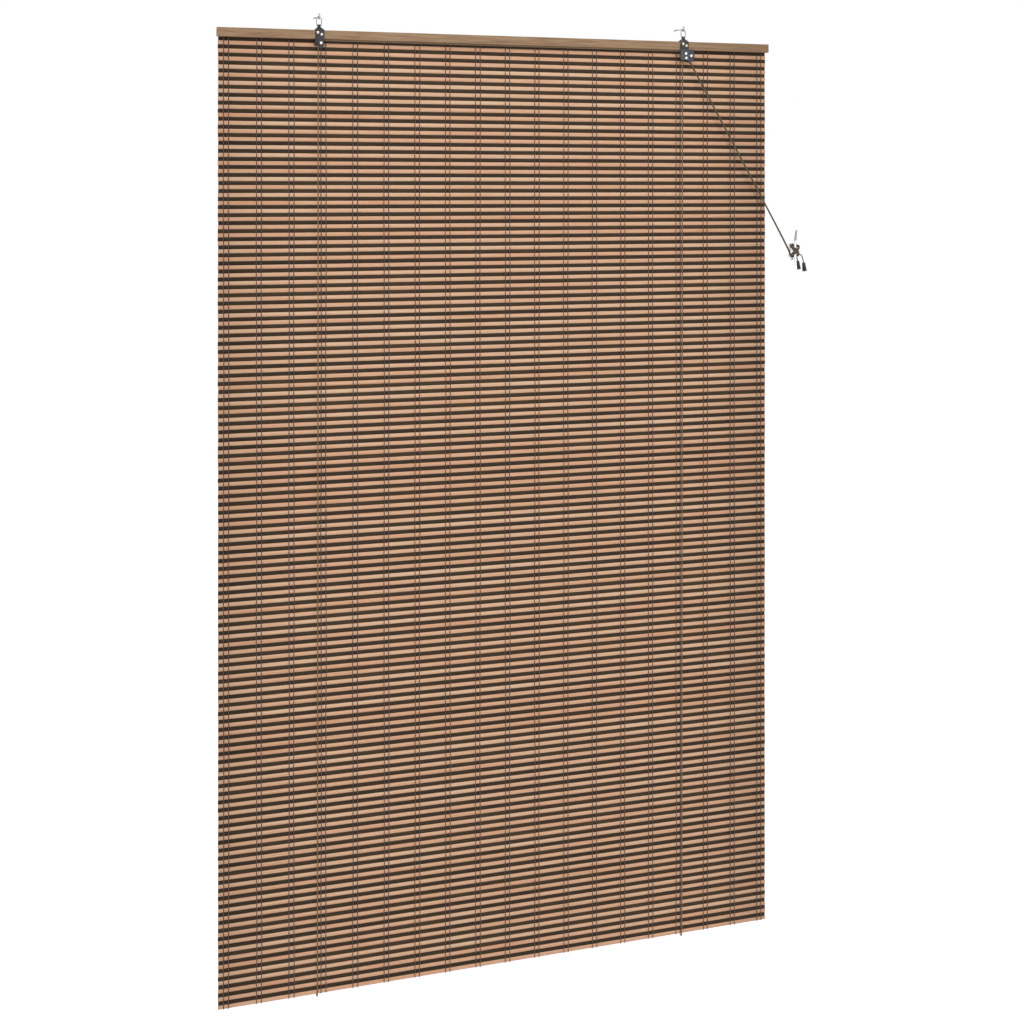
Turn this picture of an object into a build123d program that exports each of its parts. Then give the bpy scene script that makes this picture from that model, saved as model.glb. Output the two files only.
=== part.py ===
from build123d import *
import math
import os

# Bamboo roll up blind, let right down, with its wall hooks, pulley, cord lock and cord cleat.
# Millimetres: +X to the right seen from the room, +Y into the wall, +Z up.
# The origin is on the wall's face, midway between the two hook shanks.

# Weave: light slats and narrow dark sticks laid in turn, one above the other
slat_length = 1000.0
slat_height = 7.2
slat_thickness = 3.0
slat_bevel_height = 1.5
slat_bevel_depth = 1.0
stick_height = 4.9
stick_front_recess = 0.8
stick_back_recess = 0.5
weave_gap = 0.5
groove_depth = 1.9
weave_drop = 1585.0
mat_standoff = 5.0

# Warp threads, in pairs
thread_width = 0.9
thread_thickness = 0.5
thread_pair_spacing = 8.0
thread_pitch = 54.1
thread_edge_margin = 13.0
thread_rise = 4.0

# Headrail batten
headrail_overhang = 2.0
headrail_height = 15.0
headrail_depth = 12.0
headrail_edge_radius = 1.2
headrail_drop = 23.2

# Staples in the back of the headrail
staple_wire = 0.7
staple_leg = 5.0
staple_side_room = 0.4
thread_staple_share = 0.6
cord_staple_share = 0.82

# Wall hooks and the rings that hang on them
hook_inset = 167.0
hook_wire_radius = 1.4
wire_sides = 8
hook_shank_in_wall = 32.0
hook_point_length = 6.0
hook_bend_radius = 1.7
hook_curl_radius = 3.8
hook_curl_turn = 265.0
ring_wire_radius = 0.9
ring_side_room = 0.8
ring_straight = 6.7
rest_gap = 0.1

# Folded straps over the headrail
strap_sheet = 1.0
strap_width = 15.0
strap_neck_width = 5.0
strap_neck_drop = 3.7
strap_bight_room = 0.3
strap_fold_radius = 1.3
strap_front_leg = 13.0
strap_back_foot = 7.5

# Screws through the straps
screw_shank_radius = 1.4
screw_head_radius = 2.5
screw_head_height = 1.4
screw_length = 9.0
screw_hole_room = 0.1
upper_screw_x = -3.5
upper_screw_drop = 4.2
lower_screw_x = 3.0
lower_screw_drop = 7.2

# Pulleys and their pins
pulley_groove_radius = 3.0
pulley_flange_radius = 5.2
pulley_width = 6.6
pulley_flange = 0.9
pulley_side_room = 0.45
pin_radius = 1.5
pin_head_radius = 2.4
pin_head_height = 0.9
pin_tail_height = 0.6
pin_hole_room = 0.05
running_room = 0.06
left_pulley_x = 2.0
lock_pulley_x = 2.0

# Housings of black sheet below the straps
housing_sheet = 1.0
housing_top_drop = 1.4
housing_half_width = 6.9
housing_bend_radius = 1.5
housing_corner_radius = 2.0
left_tongue_half_width = 4.0
left_tongue_drop = 9.0
left_web_x = -8.0
left_web_height = 9.0
lock_left_reach = 8.6
lock_back_reach = 4.0
lock_right_reach = 17.5
lock_left_drop = 11.5
lock_right_drop = 14.5
lock_web_x = 18.6
lock_web_height = 9.0
lock_step_x = 6.0
lock_cheek_room = 1.0

# Cord lock: guide pin and toothed cam
guide_pin_x = 2.6
guide_pin_drop = 7.9
guide_sleeve_radius = 2.0
guide_sleeve_room = 0.3
cam_pin_x = 12.6
cam_pin_drop = 3.7
cam_tip_radius = 4.3
cam_root_radius = 3.6
cam_offset = 0.6
cam_teeth = 16
cam_width = 6.0

# Cords
cord_radius = 1.0
cord_wrap_room = 0.3
cord_side_room = 0.1
cord_mat_room = 0.05
cord_end_lap = 6.8
turn_radius_share = 0.98

# Cord cleat on the wall
cleat_beside = 58.0
cleat_drop = 400.5
cleat_half_span = 39.0
cleat_tip_lift = 20.0
cleat_bar_lift = 14.0
cleat_barrel_radius = 3.1
cleat_barrel_length = 15.0
cleat_horn_radius = 2.5
cleat_mid_radius = 2.0
cleat_tip_radius = 1.5
cleat_mid_share = 0.55
cleat_tip_flat_share = 0.5
cleat_post_width = 6.0
cleat_post_height = 11.0
cleat_base_width = 11.0
cleat_base_height = 36.0
cleat_base_thickness = 3.0
cleat_screw_spacing = 24.0
cleat_screw_radius = 1.6
cleat_screw_neck_radius = 1.9
cleat_screw_head_radius = 3.0
cleat_screw_in_wall = 12.0

# Turns of cord on the cleat, tails and end caps
winding_width = 20.0
winding_height = 30.0
winding_front = 21.5
winding_back = 4.0
winding_edge_bevel = 4.0
winding_room = 0.3
winding_lap = 3.0
pull_arrival_drop = 6.0
left_tail_x = 6.5
left_tail_exit_x = 4.5
left_tail_exit_drop = 10.0
left_tail_bend_rise = 3.0
right_tail_x = 19.0
right_tail_exit_x = 7.0
right_tail_exit_drop = 3.0
right_tail_bend_rise = 11.0
tail_bend_share = 0.45
tail_depth = 12.0
cap_length = 16.0
cap_top_radius = 2.0
cap_bottom_radius = 3.9
cap_bore_depth = 9.0
cap_bore_room = 0.1
cap_lean = 8.0
left_cap_drop = 18.5
right_cap_drop = 22.0

# Length that every cut runs past the solid
overrun = 2.0

# Places worked out from the sizes
pitch = slat_height + stick_height + 2 * weave_gap
slat_count = max(round(weave_drop / pitch), 1)
mat_back = -mat_standoff
mat_front = mat_back - slat_thickness
headrail_length = slat_length + 2 * headrail_overhang
headrail_top = -headrail_drop
weave_top = headrail_top - headrail_height
weave_bottom = weave_top - slat_count * pitch
headrail_back = mat_back
headrail_front = headrail_back - headrail_depth
headrail_mid = (headrail_front + headrail_back) / 2
right_x = slat_length / 2 - hook_inset
left_x = -right_x
strap_front = headrail_front - strap_sheet
cheek_front = strap_front - housing_sheet
back_cheek_front = strap_front + pulley_width + 2 * pulley_side_room
back_cheek_back = back_cheek_front + housing_sheet
pulley_mid = (strap_front + back_cheek_front) / 2
cord_turn_radius = pulley_groove_radius + cord_wrap_room + cord_radius
cord_run_z = weave_top - 2 * cord_radius
pin_z = cord_run_z - cord_turn_radius
left_cord_y = pulley_mid - cord_radius - cord_side_room
right_cord_y = pulley_mid + cord_radius + cord_side_room
cord_back_y = mat_back + thread_thickness + staple_wire + cord_mat_room + cord_radius
cleat_x = slat_length / 2 + cleat_beside
cleat_z = -cleat_drop
ring_top_z = -hook_curl_radius + hook_wire_radius + ring_wire_radius + rest_gap
ring_inside = strap_neck_width / 2 + ring_side_room
ring_radius = ring_inside + ring_wire_radius
ring_foot_z = ring_top_z - ring_radius - ring_straight
thread_pairs = max(round((slat_length - 2 * thread_edge_margin) / thread_pitch), 1) + 1
thread_places = [
    pair * thread_pitch - (thread_pairs - 1) * thread_pitch / 2 + side * thread_pair_spacing / 2
    for pair in range(thread_pairs)
    for side in (-1, 1)
]
cam_x = right_x + cam_pin_x
cam_z = pin_z - cam_pin_drop
lock_exit_x = right_x + lock_pulley_x + cord_turn_radius


def block(x_low, x_high, y_low, y_high, z_low, z_high):
    """Box between two corners."""
    centre = ((x_low + x_high) / 2, (y_low + y_high) / 2, (z_low + z_high) / 2)
    return Pos(*centre) * Box(x_high - x_low, y_high - y_low, z_high - z_low)


def turned(profile, x, z):
    """Solid turned about a line along Y through x and z; the profile holds (radius, y) points."""
    return Pos(x, 0, z) * revolve(make_face(Polyline(*profile, close=True)), Axis.Y)


def plate(outline, front, back):
    """Flat plate of an outline in X and Z, between two depths."""
    return extrude(Plane.XZ.offset(-back) * outline, back - front)


def rounded(points, radius):
    """Closed outline of (x, z) points with every corner rounded alike."""
    return make_face(FilletPolyline(*points, radius=radius, close=True))


def bored(x, z, radius):
    """Round cutter along Y through the whole depth of a unit."""
    reach = headrail_front + mat_standoff - overrun - screw_length
    return turned([(0, reach), (radius, reach), (radius, overrun), (0, overrun)], x, z)


def tube(name, points, radii):
    """Cord along straight runs joined by tangent arcs."""
    path = FilletPolyline(*points, radius=radii)
    print(name, "length", round(path.length, 1), "radii", [round(r, 2) for r in radii])
    section = Plane(path @ 0, z_dir=path % 0) * Circle(cord_radius)
    return sweep(section, path)


def bamboo_mat():
    """One wall whose section is a slat and a stick in turn, each slat bevelled along its front edges."""
    stick_front = mat_front + stick_front_recess
    stick_back = mat_back - stick_back_recess
    slat_edge = mat_front + slat_bevel_depth
    groove = mat_front + groove_depth
    front = []
    back = []
    for row in range(slat_count):
        stick_top = weave_top - row * pitch - weave_gap
        stick_bottom = stick_top - stick_height
        slat_top = stick_bottom - weave_gap
        slat_bottom = slat_top - slat_height
        if row:
            front.append((groove, stick_top + weave_gap / 2))
        front.append((stick_front, stick_top))
        front.append((stick_front, stick_bottom))
        front.append((groove, stick_bottom - weave_gap / 2))
        front.append((slat_edge, slat_top))
        front.append((mat_front, slat_top - slat_bevel_height))
        front.append((mat_front, slat_bottom + slat_bevel_height))
        front.append((slat_edge, slat_bottom))
        back.extend([(stick_back, stick_top), (stick_back, stick_bottom)])
        back.extend([(mat_back, slat_top), (mat_back, slat_bottom)])
    outline = [(-slat_length / 2, y, z) for y, z in front + back[::-1]]
    section = make_face(Polyline(*outline, close=True))
    return extrude(section, slat_length, dir=(1, 0, 0), clean=False)


def warp_threads(front, back, top):
    """Straight threads, side by side in pairs, over the height of the mat."""
    half = thread_width / 2
    threads = [block(x - half, x + half, front, back, weave_bottom, top) for x in thread_places]
    return Compound([thread.solid() for thread in threads])


def headrail():
    """Batten with rounded long edges, and the holes that the strap screws cut in it."""
    half = headrail_length / 2
    batten = block(-half, half, headrail_front, headrail_back, weave_top, headrail_top)
    batten = fillet(batten.edges().filter_by(Axis.X), headrail_edge_radius)
    for x, z in screw_places():
        batten -= turned(screw_profile(screw_hole_room), x, z)
    return batten


def staple(x, z, held_half_width, held_depth):
    """Flat wire staple across what it holds to the back of the headrail."""
    inner = held_half_width + staple_side_room
    outer = inner + staple_wire
    crown_front = headrail_back + held_depth
    crown_back = crown_front + staple_wire
    tip = headrail_back - staple_leg
    outline = [(-outer, tip), (-outer, crown_back), (outer, crown_back), (outer, tip)]
    outline += [(inner, tip), (inner, crown_front), (-inner, crown_front), (-inner, tip)]
    section = make_face(Polyline(*outline, close=True))
    return (Pos(x, 0, z - staple_wire / 2) * extrude(section, staple_wire)).solid()


def thread_staples():
    """One staple over each pair of threads."""
    half = thread_pair_spacing / 2 + thread_width / 2
    z = weave_top + thread_rise * thread_staple_share
    middles = [(a + b) / 2 for a, b in zip(thread_places[::2], thread_places[1::2])]
    return Compound([staple(x, z, half, thread_thickness) for x in middles])


def cord_staples():
    """One staple over the fixed end of each lift cord."""
    depth = cord_back_y + cord_radius + cord_mat_room - headrail_back
    z = weave_top + cord_end_lap * cord_staple_share
    return Compound([staple(x, z, cord_radius, depth) for x in (left_cord_x(), right_cord_x())])


def screw_hook(x):
    """Pointed shank along Y, bent down into an open curl whose centre is on the shank's line."""
    start_angle = math.asin(hook_bend_radius / (hook_curl_radius + hook_bend_radius))
    bend_turn = math.pi / 2 - start_angle
    bend_start = headrail_mid + (hook_curl_radius + hook_bend_radius) * math.cos(start_angle)
    heading = (0, -math.cos(bend_turn), -math.sin(bend_turn))
    bend_end_y = bend_start - hook_bend_radius * math.sin(bend_turn)
    bend_end = (x, bend_end_y, -hook_curl_radius * math.sin(start_angle))
    section = RegularPolygon(hook_wire_radius, wire_sides)
    bend = revolve(
        Plane((x, bend_start, 0), x_dir=(1, 0, 0), z_dir=(0, -1, 0)) * section,
        Axis((x, bend_start, -hook_bend_radius), (1, 0, 0)),
        math.degrees(bend_turn),
    )
    curl = revolve(
        Plane(bend_end, x_dir=(1, 0, 0), z_dir=heading) * section,
        Axis((x, headrail_mid, 0), (-1, 0, 0)),
        hook_curl_turn - math.degrees(start_angle),
    )
    neck = hook_shank_in_wall - hook_point_length
    profile = [(0, bend_start), (hook_wire_radius, bend_start), (hook_wire_radius, neck)]
    profile.append((0, hook_shank_in_wall))
    return turned(profile, x, 0) + bend + curl


def ring(x):
    """Long wire ring across the hook, resting in its curl: two half rings joined by straight sides."""
    corners = [2 * math.pi * corner / wire_sides for corner in range(wire_sides)]
    section = [
        (ring_radius + ring_wire_radius * math.cos(a), headrail_mid + ring_wire_radius * math.sin(a))
        for a in corners
    ]
    wire = make_face(Polyline(*section, close=True))
    half = revolve(wire, Axis.Y, 180) + extrude(wire, ring_straight, dir=(0, 0, 1))
    whole = half + Pos(0, 0, ring_straight) * Rot(0, 180, 0) * half
    return Pos(x, 0, ring_foot_z) * whole


def strap(x):
    """Sheet folded over the ring, spread over the headrail and down its front and back."""
    half_neck = strap_neck_width / 2
    bight_inside = ring_foot_z - math.sqrt(ring_inside**2 - half_neck**2) + rest_gap
    top = bight_inside + strap_sheet / 2
    half_bight = ring_wire_radius + strap_bight_room + strap_sheet / 2
    neck_bottom = bight_inside - strap_neck_drop
    front = headrail_front - strap_sheet / 2
    back = headrail_back + strap_sheet / 2
    shoulder = headrail_top + strap_sheet / 2
    points = [
        (x, front, headrail_top - strap_front_leg),
        (x, front, shoulder),
        (x, headrail_mid - half_bight, neck_bottom),
        (x, headrail_mid - half_bight, top),
        (x, headrail_mid + half_bight, top),
        (x, headrail_mid + half_bight, neck_bottom),
        (x, back, shoulder),
        (x, back, weave_top + strap_back_foot),
    ]
    bight_radius = half_bight * turn_radius_share
    fold = strap_fold_radius
    path = FilletPolyline(*points, radius=[fold, fold, bight_radius, bight_radius, fold, fold])
    section = Plane(path @ 0, x_dir=(1, 0, 0), z_dir=path % 0) * Rectangle(strap_width, strap_sheet)
    folded = sweep(section, path)
    half = strap_width / 2
    crest = top + strap_sheet
    outline = [(-half_neck, crest), (half_neck, crest), (half_neck, neck_bottom), (half, shoulder)]
    outline += [(half, weave_top), (-half, weave_top), (-half, shoulder), (-half_neck, neck_bottom)]
    trimmed = Pos(x, 0, 0) * plate(make_face(Polyline(*outline, close=True)), strap_front - overrun, 0)
    folded = folded & trimmed
    for hole_x, hole_z in unit_screws(x):
        folded -= bored(hole_x, hole_z, screw_shank_radius + screw_hole_room)
    return folded


def unit_screws(x):
    """Places of the two screws of one unit."""
    upper = (x + upper_screw_x, headrail_top - upper_screw_drop)
    lower = (x + lower_screw_x, headrail_top - lower_screw_drop)
    return [upper, lower]


def screw_places():
    return unit_screws(left_x) + unit_screws(right_x)


def screw_profile(room):
    """Section of a pan-head screw, or of the hole that it cuts, as (radius, y) points."""
    tip = cheek_front + screw_length + room
    shank = screw_shank_radius + room
    if room:
        return [(0, cheek_front), (shank, cheek_front), (shank, tip), (0, tip)]
    head = cheek_front - screw_head_height
    outline = [(0, head), (screw_head_radius, head), (screw_head_radius, cheek_front)]
    return outline + [(shank, cheek_front), (shank, tip), (0, tip)]


def bracket_screws():
    return Compound([turned(screw_profile(0), x, z).solid() for x, z in screw_places()])


def channel(x, web_x, open_x, web_top, web_bottom, front_outline, back_outline):
    """Sheet bent into a U round a web at one side, with its front and back cheeks trimmed to outlines."""
    side = math.copysign(1, web_x - open_x)
    front = cheek_front + housing_sheet / 2
    back = back_cheek_front + housing_sheet / 2
    lowest = min(point[1] for point in front_outline)
    highest = max(point[1] for point in front_outline)
    middle = (lowest + highest) / 2
    far = x + open_x - side * overrun
    points = [(far, front, middle), (x + web_x, front, middle)]
    points += [(x + web_x, back, middle), (far, back, middle)]
    path = FilletPolyline(*points, radius=housing_bend_radius)
    section = Plane(path @ 0, x_dir=(0, 0, 1), z_dir=path % 0)
    sheet = sweep(section * Rectangle(highest - lowest, housing_sheet), path)
    web_outer = web_x + side * housing_sheet
    bend_end = web_x - side * (housing_bend_radius + housing_sheet)
    low, high = sorted((web_outer, bend_end))
    cheek_back = cheek_front + housing_sheet
    keep = plate(rounded(front_outline, housing_corner_radius), cheek_front - overrun, cheek_back)
    keep += plate(rounded(back_outline, housing_corner_radius), back_cheek_front, back_cheek_back + overrun)
    keep += block(low, high, cheek_front - overrun, back_cheek_back + overrun, web_bottom, web_top)
    return sheet & (Pos(x, 0, 0) * keep)


def left_housing():
    """Pulley housing: a plate over the strap that narrows to a tongue, a web and a back cheek."""
    web_top = pin_z + left_web_height / 2
    web_bottom = pin_z - left_web_height / 2
    top = headrail_top - housing_top_drop
    tongue_left = left_pulley_x - left_tongue_half_width
    tongue_right = left_pulley_x + left_tongue_half_width
    tongue_bottom = pin_z - left_tongue_drop
    half = housing_half_width
    front = [(-half, top), (half, top), (half, weave_top), (tongue_right, web_bottom)]
    front += [(tongue_right, tongue_bottom), (tongue_left, tongue_bottom), (tongue_left, web_bottom)]
    front += [(-half, weave_top)]
    back = [(-half, web_top), (tongue_right, web_top), (tongue_right, web_bottom), (-half, web_bottom)]
    body = channel(left_x, left_web_x, half, web_top, web_bottom, front, back)
    body -= bored(left_x + left_pulley_x, pin_z, pin_radius + pin_hole_room)
    for x, z in unit_screws(left_x):
        body -= bored(x, z, screw_shank_radius + screw_hole_room)
    return body


def lock_housing():
    """Cord lock housing: a plate over the strap, wide cheeks stepped down to the right, a web past the cam."""
    top = headrail_top - housing_top_drop
    waist = weave_top + lock_cheek_room
    cheek_top = weave_top - lock_cheek_room
    left_bottom = pin_z - lock_left_drop
    right_bottom = pin_z - lock_right_drop
    web_top = cam_z + lock_web_height / 2
    web_bottom = cam_z - lock_web_height / 2
    left = -lock_left_reach
    back_left = -lock_back_reach
    half = housing_half_width
    reach = lock_right_reach
    front = [(left, top), (half, top), (half, waist), (reach, waist), (reach, right_bottom)]
    front += [(lock_step_x, right_bottom), (lock_step_x, left_bottom), (left, left_bottom)]
    back = [(back_left, cheek_top), (reach, cheek_top), (reach, right_bottom)]
    back += [(lock_step_x, right_bottom), (lock_step_x, left_bottom), (back_left, left_bottom)]
    body = channel(right_x, lock_web_x, left, web_top, web_bottom, front, back)
    hole = pin_radius + pin_hole_room
    body -= bored(right_x + lock_pulley_x, pin_z, hole)
    body -= bored(right_x + guide_pin_x, pin_z - guide_pin_drop, hole)
    body -= bored(cam_x, cam_z, hole)
    for x, z in unit_screws(right_x):
        body -= bored(x, z, screw_shank_radius + screw_hole_room)
    return body


def pulley(x):
    """Flanged wheel with a flat groove wide enough for two cords."""
    half = pulley_width / 2
    groove = half - pulley_flange
    bore = pin_radius + running_room
    profile = [
        (bore, -half),
        (pulley_flange_radius, -half),
        (pulley_flange_radius, -half + pulley_flange / 2),
        (pulley_groove_radius, -groove),
        (pulley_groove_radius, groove),
        (pulley_flange_radius, half - pulley_flange / 2),
        (pulley_flange_radius, half),
        (bore, half),
    ]
    return Pos(0, pulley_mid, 0) * turned(profile, x, pin_z)


def rivet(x, z, sleeve_radius):
    """Headed pin across both cheeks, with a thicker sleeve between them where it guides a cord."""
    head = cheek_front - pin_head_height
    tail = back_cheek_back + pin_tail_height
    cheek_back = cheek_front + housing_sheet
    profile = [
        (0, head),
        (pin_head_radius, head),
        (pin_head_radius, cheek_front),
        (pin_radius, cheek_front),
    ]
    if sleeve_radius > pin_radius:
        sleeve_front = cheek_back + guide_sleeve_room
        sleeve_back = back_cheek_front - guide_sleeve_room
        profile += [(pin_radius, sleeve_front), (sleeve_radius, sleeve_front)]
        profile += [(sleeve_radius, sleeve_back), (pin_radius, sleeve_back)]
    profile += [
        (pin_radius, back_cheek_back),
        (pin_head_radius, back_cheek_back),
        (pin_head_radius, tail),
        (0, tail),
    ]
    return turned(profile, x, z)


def lock_cam():
    """Eccentric toothed wheel; its far side faces the cords, so that it grips as they pull down."""
    step = math.pi / cam_teeth
    points = []
    for tooth in range(2 * cam_teeth):
        radius = cam_root_radius if tooth % 2 else cam_tip_radius
        points.append((-cam_offset - radius * math.cos(tooth * step), radius * math.sin(tooth * step)))
    front = pulley_mid - cam_width / 2
    wheel = Pos(cam_x, 0, cam_z) * plate(make_face(Polyline(*points, close=True)), front, front + cam_width)
    return wheel - bored(cam_x, cam_z, pin_radius + running_room)


def left_cord_x():
    return left_x + left_pulley_x - cord_turn_radius


def right_cord_x():
    return right_x + lock_pulley_x - cord_turn_radius


def mat_turn(x):
    """Corners of a lift cord under the bottom slat and up to its fixed end behind the headrail."""
    front = mat_front - thread_thickness - cord_radius - cord_mat_room
    back = cord_back_y
    turn = (back - front) / 2
    low = weave_bottom - turn
    end = weave_top + cord_end_lap
    return [(x, front, low), (x, back, low), (x, back, end)], turn * turn_radius_share


def left_lift_cord():
    """From the lock over its pulley, across to the left pulley, down the front and up the back."""
    below, turn = mat_turn(left_cord_x())
    points = [
        (lock_exit_x, left_cord_y, cam_z),
        (lock_exit_x, left_cord_y, cord_run_z),
        (left_cord_x(), left_cord_y, cord_run_z),
    ]
    radii = [cord_turn_radius, cord_turn_radius, turn, turn]
    return tube("left_lift_cord", points + below, radii)


def right_lift_cord():
    """From the lock over its pulley, down the front and up the back."""
    below, turn = mat_turn(right_cord_x())
    points = [
        (lock_exit_x, right_cord_y, cam_z),
        (lock_exit_x, right_cord_y, cord_run_z),
        (right_cord_x(), right_cord_y, cord_run_z),
    ]
    over = cord_turn_radius * turn_radius_share
    return tube("right_lift_cord", points + below, [over, over, turn, turn])


def pull_cord(name, y):
    """From the lock round the cam, then straight to the turns on the cleat."""
    wrap = cam_x - lock_exit_x
    arrival = (cleat_x - winding_width / 2 + winding_lap, y, cleat_z - pull_arrival_drop)
    slant = math.atan2(arrival[0] - lock_exit_x, cam_z - arrival[2])
    corner_z = cam_z - wrap * math.tan(slant / 2)
    points = [(lock_exit_x, y, cam_z), (lock_exit_x, y, corner_z), arrival]
    return tube(name, points, [wrap * turn_radius_share])


def cleat_bar(room):
    """Barrel along Z and two tapered horns that lean away from the wall, each turned about its own line."""
    reach = math.hypot(cleat_half_span, cleat_tip_lift - cleat_bar_lift)
    profile = [
        (0, 0),
        (cleat_horn_radius + room, 0),
        (cleat_mid_radius + room, reach * cleat_mid_share),
        (cleat_tip_radius + room, reach - cleat_tip_radius),
        (cleat_tip_radius * cleat_tip_flat_share, reach),
        (0, reach),
    ]
    horn = revolve(Plane.XZ * make_face(Polyline(*profile, close=True)), Axis.Z)
    middle = (cleat_x, -cleat_bar_lift, cleat_z)
    bar = Pos(*middle) * Cylinder(cleat_barrel_radius + room, cleat_barrel_length + 2 * room)
    for side in (-1, 1):
        along = (0, cleat_bar_lift - cleat_tip_lift, side * cleat_half_span)
        bar += Plane(middle, x_dir=(1, 0, 0), z_dir=along) * horn
    return bar


def cord_cleat():
    """Cast cleat: base against the wall, post and bar."""
    half_width = cleat_base_width / 2
    half_height = cleat_base_height / 2
    corners = [(-half_width, -half_height), (half_width, -half_height), (half_width, half_height)]
    corners += [(-half_width, half_height)]
    base = plate(rounded(corners, half_width * turn_radius_share), -cleat_base_thickness, 0)
    body = Pos(cleat_x, 0, cleat_z) * base
    body += cleat_post(0)
    body += cleat_bar(0)
    for z in cleat_screw_places():
        body -= turned(cleat_screw_profile(screw_hole_room), cleat_x, z)
    return body


def cleat_post(room):
    """Post between the base and the bar."""
    half_width = cleat_post_width / 2 + room
    half_height = cleat_post_height / 2 + room
    low = -cleat_bar_lift
    return block(
        cleat_x - half_width,
        cleat_x + half_width,
        low,
        -cleat_base_thickness / 2,
        cleat_z - half_height,
        cleat_z + half_height,
    )


def cleat_screw_places():
    return [cleat_z - cleat_screw_spacing / 2, cleat_z + cleat_screw_spacing / 2]


def cleat_screw_profile(room):
    """Section of a countersunk screw, plain as far as the wall, or of its hole, as (radius, y) points."""
    neck = cleat_screw_neck_radius + room
    head = cleat_screw_head_radius + room
    front = -cleat_base_thickness
    outline = [(0, front), (head, front), (neck, front + head - neck)]
    if room:
        return outline + [(neck, overrun), (0, overrun)]
    shank = cleat_screw_radius
    return outline + [(neck, 0), (shank, 0), (shank, cleat_screw_in_wall), (0, cleat_screw_in_wall)]


def cleat_screws():
    profile = cleat_screw_profile(0)
    return Compound([turned(profile, cleat_x, z).solid() for z in cleat_screw_places()])


def cord_winding():
    """Outer shape of the figure-of-eight turns round the post and bar of the cleat."""
    half_width = winding_width / 2
    half_height = winding_height / 2
    corners = [(-half_width, -half_height), (half_width, -half_height), (half_width, half_height)]
    corners += [(-half_width, half_height)]
    lump = plate(rounded(corners, half_width * turn_radius_share), -winding_front, -winding_back)
    ends = lump.faces().filter_by(Axis.Y)
    lump = chamfer(ends.edges(), winding_edge_bevel)
    lump = Pos(cleat_x, 0, cleat_z) * lump
    return lump - cleat_bar(winding_room) - cleat_post(winding_room)


def cap_place(offset, drop):
    """Top of an end cap that leans to the right below the winding."""
    return Pos(cleat_x + offset, -tail_depth, cleat_z - drop) * Rot(0, -cap_lean, 0)


def end_cap(offset, drop):
    """Bell-shaped cap with a bore for the cord."""
    bore = cord_radius + cap_bore_room
    profile = [
        (bore, -cap_bore_depth),
        (bore, 0),
        (cap_top_radius, 0),
        (cap_bottom_radius, -cap_length),
        (0, -cap_length),
        (0, -cap_bore_depth),
    ]
    section = Plane.XZ * make_face(Polyline(*profile, close=True))
    return cap_place(offset, drop) * revolve(section, Axis.Z)


def tail(name, exit_x, exit_drop, bend_rise, offset, drop):
    """Loose end of a cord: out of the winding, round one bend and straight into its cap."""
    start = Vector(cleat_x + exit_x, -tail_depth, cleat_z - exit_drop)
    place = cap_place(offset, drop)
    bend = (place * Pos(0, 0, bend_rise)).position
    end = (place * Pos(0, 0, -cap_bore_depth + cord_radius)).position
    turn = math.radians((bend - start).get_angle(end - bend))
    run = min((bend - start).length, (end - bend).length) * tail_bend_share
    return tube(name, [start, bend, end], [run / math.tan(turn / 2)])


thread_front = mat_front - thread_thickness
thread_back = mat_back + thread_thickness

pieces = {
    "headrail": headrail(),
    "bamboo_mat": bamboo_mat(),
    "warp_threads_front": warp_threads(thread_front, mat_front, weave_top),
    "warp_threads_back": warp_threads(mat_back, thread_back, weave_top + thread_rise),
    "thread_staples": thread_staples(),
    "cord_staples": cord_staples(),
    "left_screw_hook": screw_hook(left_x),
    "right_screw_hook": screw_hook(right_x),
    "left_ring": ring(left_x),
    "right_ring": ring(right_x),
    "left_bracket": strap(left_x),
    "right_bracket": strap(right_x),
    "bracket_screws": bracket_screws(),
    "left_housing": left_housing(),
    "lock_housing": lock_housing(),
    "left_pulley": pulley(left_x + left_pulley_x),
    "lock_pulley": pulley(right_x + lock_pulley_x),
    "left_pulley_pin": rivet(left_x + left_pulley_x, pin_z, pin_radius),
    "lock_pulley_pin": rivet(right_x + lock_pulley_x, pin_z, pin_radius),
    "lock_guide_pin": rivet(right_x + guide_pin_x, pin_z - guide_pin_drop, guide_sleeve_radius),
    "lock_cam": lock_cam(),
    "lock_cam_pin": rivet(cam_x, cam_z, pin_radius),
    "left_lift_cord": left_lift_cord(),
    "right_lift_cord": right_lift_cord(),
    "left_pull_cord": pull_cord("left_pull_cord", left_cord_y),
    "right_pull_cord": pull_cord("right_pull_cord", right_cord_y),
    "cord_winding": cord_winding(),
    "left_tail": tail(
        "left_tail", left_tail_exit_x, left_tail_exit_drop, left_tail_bend_rise, left_tail_x, left_cap_drop
    ),
    "right_tail": tail(
        "right_tail", right_tail_exit_x, right_tail_exit_drop, right_tail_bend_rise, right_tail_x, right_cap_drop
    ),
    "left_cap": end_cap(left_tail_x, left_cap_drop),
    "right_cap": end_cap(right_tail_x, right_cap_drop),
    "cord_cleat": cord_cleat(),
    "cleat_screws": cleat_screws(),
}

os.makedirs("parts", exist_ok=True)
for node, shape in pieces.items():
    export_step(shape, f"parts/{node}.step")
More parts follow.
